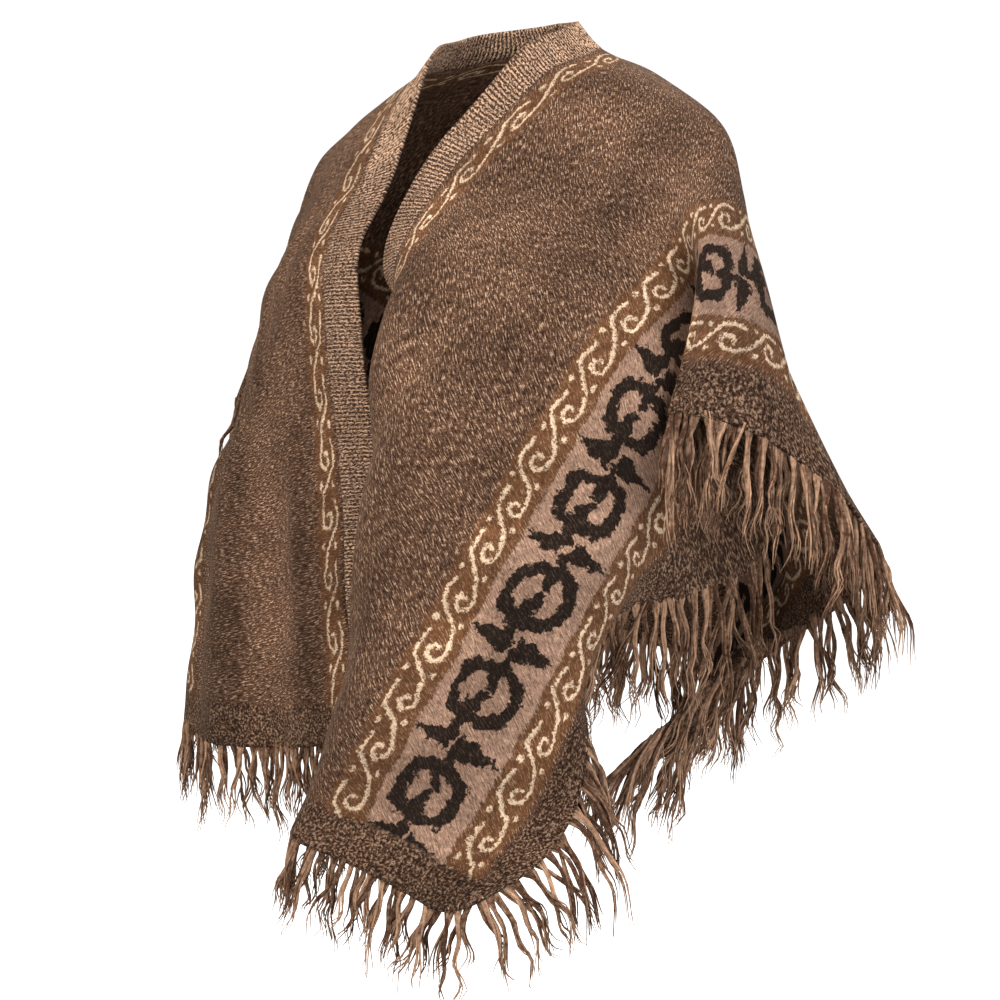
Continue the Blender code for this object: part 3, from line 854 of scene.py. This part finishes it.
# The pair of leaves between two rings.
LEAF_REACH, LEAF_TAPER, LEAF_HALF, LEAF_GAP, LEAF_TILT = 0.041, 0.36, 0.0092, 0.0028, 0.10


def scroll_line():
    line = list(SCROLL_HOOK)
    for i in range(SPIRAL_STEPS):
        angle = math.radians(SPIRAL_START - SPIRAL_TURN * i)
        radius = SPIRAL_RADIUS - SPIRAL_CLOSING * i
        line.append((radius * math.cos(angle) * 0.88 - 0.01, radius * math.sin(angle)))
    return line


def scroll_group(stroke):
    """How far a place in a border is from the cream yarn, in repeats. Place is (across, along) in repeats."""
    inputs = (("Place", "NodeSocketVector"),)
    tree, graph, given, result = node_group("Running Scroll", inputs, "Distance")
    line = strokes(graph, stroke, given["Place"], scroll_line())
    dots = [graph.minus(strokes(graph, stroke, given["Place"], dot), DOT_RADIUS) for dot in SCROLL_DOTS]
    graph.feed(result, graph.least([line, *dots]))
    return tree


def ring_group(stroke):
    """How far a place is inside (below 0) or outside the dark rings and leaves, in metres.

    Place is (across, along) from the middle of a ring, in metres.
    """
    inputs = (("Place", "NodeSocketVector"),)
    tree, graph, given, result = node_group("Rings And Leaves", inputs, "Distance")
    u, v, _ = graph.parts(given["Place"])
    v = graph.wrapped(v, RING_REPEAT / 2)
    # The ring is a squarish oval.
    wide = graph.math("POWER", graph.away(graph.over(u, RING_WIDE)), RING_SQUARENESS)
    tall = graph.math("POWER", graph.away(graph.over(v, RING_TALL)), RING_SQUARENESS)
    oval = graph.math("POWER", graph.plus(wide, tall), 1.0 / RING_SQUARENESS)
    found = [graph.minus(graph.times(graph.away(oval, 1.0), RING_MEAN), RING_STROKE)]
    scaled = graph.joined(graph.over(u, RING_REPEAT), graph.over(v, RING_REPEAT))
    for lobe in LOBES:
        line = [(x / RING_REPEAT, y / RING_REPEAT) for x, y in (lobe.start, lobe.end)]
        away = graph.times(strokes(graph, stroke, scaled, line), RING_REPEAT)
        found.append(graph.minus(away, lobe.half_width))
    # Between two rings a pair of pointed leaves lies across the band.
    out = graph.away(u)
    tilted = graph.plus(v, graph.times(u, LEAF_TILT))
    leaf_v = graph.away(graph.wrapped(graph.plus(tilted, RING_REPEAT / 2), RING_REPEAT / 2))
    taper = graph.times(graph.minus(LEAF_REACH, out), LEAF_TAPER)
    half = graph.math("MINIMUM", taper, LEAF_HALF)
    leaf = graph.math("MAXIMUM", graph.minus(leaf_v, half), graph.minus(LEAF_GAP, out))
    graph.feed(result, graph.least([*found, leaf]))
    return tree


SHEEN_TINT = (*linear(214, 178, 152), 1.0)
# How hand weaving and felting move the pattern: noise scale, detail, roughness and reach in metres.
WANDER = (34.0, 1.0, 0.5, 0.0090)
RAGGED = (300.0, 3.0, 0.75, 0.0105)
JAGGED = (120.0, 1.0, 0.5, 0.0120)
# Fibre dashes in a metre, across them and along them.
FINE_FLECKS = (840.0, 150.0)
CROSSED_FLECKS = (560.0, 330.0)
RIB_FLECKS = (760.0, 300.0)
RIB_FLECK_ANGLE = math.radians(86.0)
# Soft edges, in metres: a border's, the ring band's, and where the figured part ends and the margin starts.
BORDER_SOFT, BAND_SOFT, RING_SOFT = 0.0016, 0.0012, 0.0007
FIGURED = (0.034, 0.040)
MARGIN = (0.046, 0.036)
BODY = 0.15


def wool_shader(material, surface, normal, roughness, sheen):
    shader = material.node_tree.nodes["Principled BSDF"]
    shader.inputs["Roughness"].default_value = roughness
    shader.inputs["Sheen Weight"].default_value = sheen
    shader.inputs["Sheen Roughness"].default_value = 0.45
    shader.inputs["Sheen Tint"].default_value = SHEEN_TINT
    shader.inputs["Specular IOR Level"].default_value = 0.08
    links = material.node_tree.links
    links.new(surface, shader.inputs["Base Color"])
    links.new(normal, shader.inputs["Normal"])
    return material


def new_material(name):
    material = bpy.data.materials.new(name)
    material.use_nodes = True
    return material, Graph(material.node_tree)


def flecks(graph, place, angle, scales, seed):
    """Streaky fibre noise: short dashes that lie at this angle to the length of the cloth."""
    x, y, _ = graph.parts(place)
    sine, cosine = math.sin(angle), math.cos(angle)
    lengthwise = graph.plus(graph.times(x, sine), graph.times(y, -cosine))
    crosswise = graph.plus(graph.times(x, cosine), graph.times(y, sine))
    across_scale, length_scale = scales
    streaked = graph.joined(graph.times(lengthwise, length_scale), graph.times(crosswise, across_scale), seed)
    return graph.noise(streaked, 1.0, 3.0, 0.62)


def scroll_place(graph, across, along):
    """The place in the nearest scroll border, in its own repeats. The two side borders don't run in step."""
    at_opening = graph.math("LESS_THAN", across, BODY)
    at_inner = graph.math("LESS_THAN", across, RING_LINE)
    middle = graph.plus(OUTER_BORDER[0], graph.times(at_inner, INNER_BORDER[0] - OUTER_BORDER[0]))
    middle = graph.plus(middle, graph.times(at_opening, OPENING_BORDER[0] - INNER_BORDER[0]))
    narrower = graph.plus(1.0, graph.times(at_opening, INNER_BORDER[1] / OPENING_BORDER[1] - 1.0))
    from_middle = graph.times(graph.minus(across, middle), narrower)
    rate = graph.plus(1 / SCROLL_REPEAT, graph.times(at_opening, 1 / OPENING_REPEAT - 1 / SCROLL_REPEAT))
    return graph.joined(
        graph.plus(graph.over(from_middle, SCROLL_REPEAT), SCROLL_SHIFT[0]),
        graph.plus(graph.times(along, rate), graph.times(at_inner, SCROLL_SHIFT[1])),
    )


def grouped(graph, group, place):
    made = graph.node("ShaderNodeGroup", {}, node_tree=group)
    graph.feed(made.inputs[0], place)
    return made.outputs[0]


def wool_material(name, cloth, scroll, ring, fleck_angle, seed):
    """The fulled, heathered cloth with its scroll borders and its band of rings."""
    material, graph = new_material(name)
    cut = graph.attribute("cut")
    relief = graph.parts(cut)[2]
    seeded = graph.vector("ADD", cut, (0.0, 0.0, seed))
    moved = graph.vector("ADD", graph.shaken(seeded, *WANDER), graph.shaken(seeded, *RAGGED))
    across, along, _ = graph.parts(graph.vector("ADD", cut, moved))

    def within(centre, half, soft):
        return graph.rise(graph.away(across, centre), half + soft, half - soft)

    # Where the yarn of each figure lies, and where each border, the ring band and the margin are.
    line = graph.rise(grouped(graph, scroll, scroll_place(graph, across, along)), 0.052, 0.020)
    from_ring = graph.joined(graph.minus(across, RING_LINE), graph.minus(along, RING_START))
    from_ring = graph.vector("ADD", from_ring, graph.shaken(seeded, *JAGGED))
    dark = graph.rise(grouped(graph, ring, from_ring), RING_SOFT, -RING_SOFT)
    opening, inner, outer = (
        within(*border, BORDER_SOFT) for border in (OPENING_BORDER, INNER_BORDER, OUTER_BORDER)
    )
    borders = graph.math("MAXIMUM", opening, graph.math("MAXIMUM", inner, outer))
    to_hem = graph.math("MINIMUM", graph.plus(along, FRONT_LENGTH), graph.minus(BACK_LENGTH, along))
    figured = graph.rise(to_hem, *FIGURED)
    band = graph.times(within(*RING_BAND, BAND_SOFT), figured)
    margin = graph.rise(graph.math("MINIMUM", to_hem, graph.minus(WIDTH, across)), *MARGIN)

    # The heather: middle tone, then dark and light fibres, which curl in the margin.
    fine = flecks(graph, seeded, fleck_angle, FINE_FLECKS, seed + 1.0)
    crossed = flecks(graph, seeded, -fleck_angle, CROSSED_FLECKS, seed + 7.0)
    curls = graph.noise(seeded, 420.0, 2.0, 0.6)
    fibre = graph.mix(margin, graph.mix(0.25, fine, crossed), curls)
    light = graph.rise(fibre, 0.53, 0.62)
    deep = graph.rise(fibre, 0.50, 0.405)
    surface = graph.mix(graph.times(deep, 0.94), cloth.heather, cloth.heather_dark)
    bright = graph.times(light, graph.minus(0.88, graph.times(margin, 0.34)))
    surface = graph.mix(bright, surface, cloth.heather_light)

    def dyed(where, under, ground, lighter, darker):
        """Lays a dyed ground over the surface. It has the same fibres in it, less marked."""
        made = graph.mix(graph.times(deep, darker), ground, cloth.heather_dark)
        return graph.mix(where, under, graph.mix(graph.times(light, lighter), made, cloth.heather_light))

    worn = graph.rise(graph.noise(seeded, 300.0, 2.0, 0.7), 0.34, 0.50, 0.15, 0.92)
    lined = graph.times(line, borders, figured, worn)
    surface = dyed(graph.times(borders, figured, 0.86), surface, cloth.border_ground, 0.28, 0.40)
    surface = dyed(band, surface, cloth.ring_ground, 0.80, 0.55)
    surface = dyed(lined, surface, cloth.scroll_line, 0.0, 0.42)
    surface = dyed(graph.times(dark, band, 0.96), surface, cloth.ring_line, 0.07, 0.0)

    # Slow patches of tone, part the wool's own mottling and part painted light and shade. The margin is
    # darker.
    # Painted shade darkens the hollows between folds, and painted light brightens the ridges.
    patches = graph.plus(graph.noise(seeded, 70.0, 2.0, 0.6), graph.noise(seeded, 13.0, 1.0, 0.5))
    shade = graph.rise(patches, 0.65, 1.35, 0.72, 1.22)
    shade = graph.times(shade, graph.minus(1.0, graph.times(margin, 0.22)))
    # Painted shade in the hollows and painted light on the ridges, read from the relief of the cloth.
    shade = graph.times(shade, graph.rise(relief, -0.008, 0.008, 0.62, 1.18))
    height = graph.plus(fibre, graph.times(margin, curls))
    return wool_shader(material, graph.shaded(surface, shade), graph.bump(height, 0.75, 0.0022), 0.92, 0.09)


def ribbing_material(name, ribbing, seed):
    """The ribbed band: light dashes on each rib, dark grooves."""
    material, graph = new_material(name)
    cut = graph.attribute("cut")
    seeded = graph.vector("ADD", cut, (0.0, 0.0, seed))
    groove = graph.math("COSINE", graph.times(graph.parts(cut)[1], math.tau / ribbing.rib_pitch))
    fibre = flecks(graph, seeded, RIB_FLECK_ANGLE, RIB_FLECKS, seed + 2.0)
    light = graph.rise(graph.plus(fibre, graph.times(groove, 0.06)), 0.46, 0.62)
    shade = graph.rise(graph.noise(seeded, 55.0, 2.0, 0.6), 0.3, 0.7, 0.80, 1.15)
    surface = graph.shaded(graph.mix(light, ribbing.dark, ribbing.light), shade)
    return wool_shader(material, surface, graph.bump(fibre, 0.6, 0.0016), 0.92, 0.09)


def fringe_material(name, settings):
    """The strands: each has its own tone, with fibres that run down it."""
    material, graph = new_material(name)
    number, down, tone = graph.parts(graph.attribute("yarn"))
    fibres = graph.joined(graph.times(number, 9.0), graph.times(down, 150.0), tone)
    streaks = graph.noise(fibres, 1.0, 3.0, 0.65)
    slow = graph.noise(graph.joined(number, graph.times(down, 22.0)), 1.0, 1.0)
    lit = graph.plus(graph.times(tone, 0.55), graph.times(graph.minus(streaks, 0.5), 1.5))
    lit = graph.math("ADD", lit, graph.times(graph.minus(slow, 0.5), 0.8), clamp=True)
    surface = graph.mix(lit, settings.dark, settings.light)
    return wool_shader(material, surface, graph.bump(streaks, 0.5, 0.0012), 0.85, 0.20)


class PONCHO_OT_weave(bpy.types.Operator):
    """Weave the two widths and give them their pattern"""

    bl_idname = "poncho.weave"
    bl_label = "Weave Widths"

    def execute(self, context):
        cloth = context.scene.poncho_cloth
        stroke = stroke_group()
        scroll, ring = scroll_group(stroke), ring_group(stroke)
        for (side, width), fleck_angle, seed in zip(widths().items(), (52.0, 78.0), (3.0, 11.0)):
            piece = weave_width(side, width, cloth)
            angle = math.radians(fleck_angle)
            piece.data.materials.append(wool_material(f"{side} cloth", cloth, scroll, ring, angle, seed))
            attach(piece, "root")
            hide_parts(f"{side}_width")
        return {"FINISHED"}


class PONCHO_OT_band(bpy.types.Operator):
    """Knit the ribbed bands onto the opening"""

    bl_idname = "poncho.band"
    bl_label = "Knit Bands"

    def execute(self, context):
        ribbing = context.scene.poncho_ribbing
        for (side, width), seed in zip(widths().items(), (4.0, 9.0)):
            piece = knit_band(side, width, ribbing)
            piece.data.materials.append(ribbing_material(f"{side} ribbing", ribbing, seed))
            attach(piece, "root")
            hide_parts(f"{side}_band")
        return {"FINISHED"}


class PONCHO_OT_fringe(bpy.types.Operator):
    """Tie the fringes onto the hems and side edges"""

    bl_idname = "poncho.fringe"
    bl_label = "Tie Fringes"

    def execute(self, context):
        settings = context.scene.poncho_fringe
        material = fringe_material("fringe yarn", settings)
        for (side, width), fringes in zip(widths().items(), (LEFT_FRINGES, RIGHT_FRINGES)):
            for number, fringe in enumerate(fringes):
                piece = tie_fringe(width, fringe, settings, 100 + 10 * width.side + number)
                piece.data.materials.append(material)
                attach(piece, "root")
                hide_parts(fringe.name)
        return {"FINISHED"}


def aim(obj, target):
    obj.rotation_euler = (Vector(target) - obj.location).to_track_quat("-Z", "Y").to_euler()


def add_light(name, place, target, size, power, tint):
    data = bpy.data.lights.new(name, "AREA")
    data.shape = "DISK"
    data.size = size
    data.energy = power
    data.color = tint
    light = bpy.data.objects.new(name, data)
    light.location = place
    aim(light, target)
    bpy.context.scene.collection.objects.link(light)


# The lights: where each stands from the middle of the poncho, its size in metres, and its tint.
Lamp = namedtuple("Lamp", "name place size tint")
LAMPS = (
    Lamp("key", (0.30, -1.95, 2.25), 1.1, (1.0, 0.96, 0.90)),
    Lamp("fill", (2.6, -0.6, 1.0), 1.6, (0.95, 0.97, 1.0)),
    Lamp("back", (-1.5, 2.2, 1.9), 1.6, (1.0, 0.97, 0.92)),
)
FLOOR_REACH = 12.0
FLOOR_GLOW = 0.95
SEEN_SURROUND = 1.05
CAMERA_AZIMUTH, CAMERA_ELEVATION = math.radians(45.0), math.radians(4.0)
CAMERA_DISTANCE = 2.2
CAMERA_TARGET = Vector((-0.0085, -0.0085, -0.44))
LENS, SENSOR = 79.2, 36.0


class PONCHO_OT_stage(bpy.types.Operator):
    """Set the floor, the light and the camera"""

    bl_idname = "poncho.stage"
    bl_label = "Set Stage"

    def execute(self, context):
        stage = context.scene.poncho_stage
        self.lay_floor(context, stage)
        self.light_up(context, stage)
        self.place_camera(context)
        context.scene.view_settings.view_transform = "Standard"
        return {"FINISHED"}

    def lay_floor(self, context, stage):
        """A wide floor that looks as pale as the background."""
        mesh = bpy.data.meshes.new("floor")
        signs = ((-1, -1), (1, -1), (1, 1), (-1, 1))
        corners = [(x * FLOOR_REACH, y * FLOOR_REACH, stage.floor_height) for x, y in signs]
        mesh.from_pydata(corners, [], [(0, 1, 2, 3)])
        floor = bpy.data.objects.new("floor", mesh)
        context.scene.collection.objects.link(floor)
        material, graph = new_material("pale floor")
        speckle = graph.noise(graph.node("ShaderNodeTexCoord", {}).outputs["Object"], 40.0)
        tone = graph.mix(speckle, stage.backdrop, tuple(0.97 * value for value in stage.backdrop))
        paper = material.node_tree.nodes["Principled BSDF"]
        graph.feed(paper.inputs["Base Color"], tone)
        paper.inputs["Roughness"].default_value = 0.9
        paper.inputs["Emission Color"].default_value = (1.0, 1.0, 1.0, 1.0)
        seen = graph.node("ShaderNodeLightPath", {}).outputs["Is Camera Ray"]
        graph.feed(paper.inputs["Emission Strength"], graph.times(seen, FLOOR_GLOW))
        mesh.materials.append(material)

    def light_up(self, context, stage):
        world = bpy.data.worlds.new("pale studio")
        world.use_nodes = True
        context.scene.world = world
        graph = Graph(world.node_tree)
        seen = graph.node("ShaderNodeLightPath", {}).outputs["Is Camera Ray"]
        brightness = graph.plus(stage.surround, graph.times(seen, SEEN_SURROUND - stage.surround))
        background = world.node_tree.nodes["Background"]
        background.inputs["Color"].default_value = (1.0, 0.99, 0.975, 1.0)
        graph.feed(background.inputs["Strength"], brightness)
        low, high = CAD_BOX
        middle = (low + high) / 2
        for lamp, power in zip(LAMPS, (stage.key_power, stage.fill_power, stage.back_power)):
            add_light(lamp.name, middle + Vector(lamp.place), middle, lamp.size, power, lamp.tint)

    def place_camera(self, context):
        data = bpy.data.cameras.new("camera")
        data.lens = LENS
        data.sensor_width = SENSOR
        camera = bpy.data.objects.new("camera", data)
        level, rise = math.cos(CAMERA_ELEVATION), math.sin(CAMERA_ELEVATION)
        way = Vector((math.sin(CAMERA_AZIMUTH) * level, -math.cos(CAMERA_AZIMUTH) * level, rise))
        camera.location = CAMERA_TARGET + CAMERA_DISTANCE * way
        aim(camera, CAMERA_TARGET)
        context.scene.collection.objects.link(camera)
        context.scene.camera = camera


class PONCHO_PT_panel(bpy.types.Panel):
    """The poncho's pieces and their sizes and colours"""

    bl_idname = "PONCHO_PT_panel"
    bl_label = "Andean Poncho"
    bl_space_type = "VIEW_3D"
    bl_region_type = "UI"
    bl_category = "Poncho"

    def draw(self, context):
        for operator, group in PANEL_ROWS:
            box = self.layout.box()
            box.operator(operator)
            settings = getattr(context.scene, group)
            for name in settings.__annotations__:
                box.prop(settings, name)


PANEL_ROWS = (
    ("poncho.weave", "poncho_cloth"),
    ("poncho.band", "poncho_ribbing"),
    ("poncho.fringe", "poncho_fringe"),
    ("poncho.stage", "poncho_stage"),
)
GROUPS = {
    "poncho_cloth": PonchoCloth,
    "poncho_ribbing": PonchoRibbing,
    "poncho_fringe": PonchoFringe,
    "poncho_stage": PonchoStage,
}
OPERATORS = (PONCHO_OT_weave, PONCHO_OT_band, PONCHO_OT_fringe, PONCHO_OT_stage)
CLASSES = (*GROUPS.values(), *OPERATORS, PONCHO_PT_panel)


def register():
    for made in CLASSES:
        bpy.utils.register_class(made)
    for name, group in GROUPS.items():
        setattr(bpy.types.Scene, name, PointerProperty(type=group))


def unregister():
    for name in GROUPS:
        delattr(bpy.types.Scene, name)
    for made in reversed(CLASSES):
        bpy.utils.unregister_class(made)


def main():
    register()
    bpy.ops.poncho.weave()
    bpy.ops.poncho.band()
    bpy.ops.poncho.fringe()
    bpy.ops.poncho.stage()


if __name__ == "__main__":
    main()
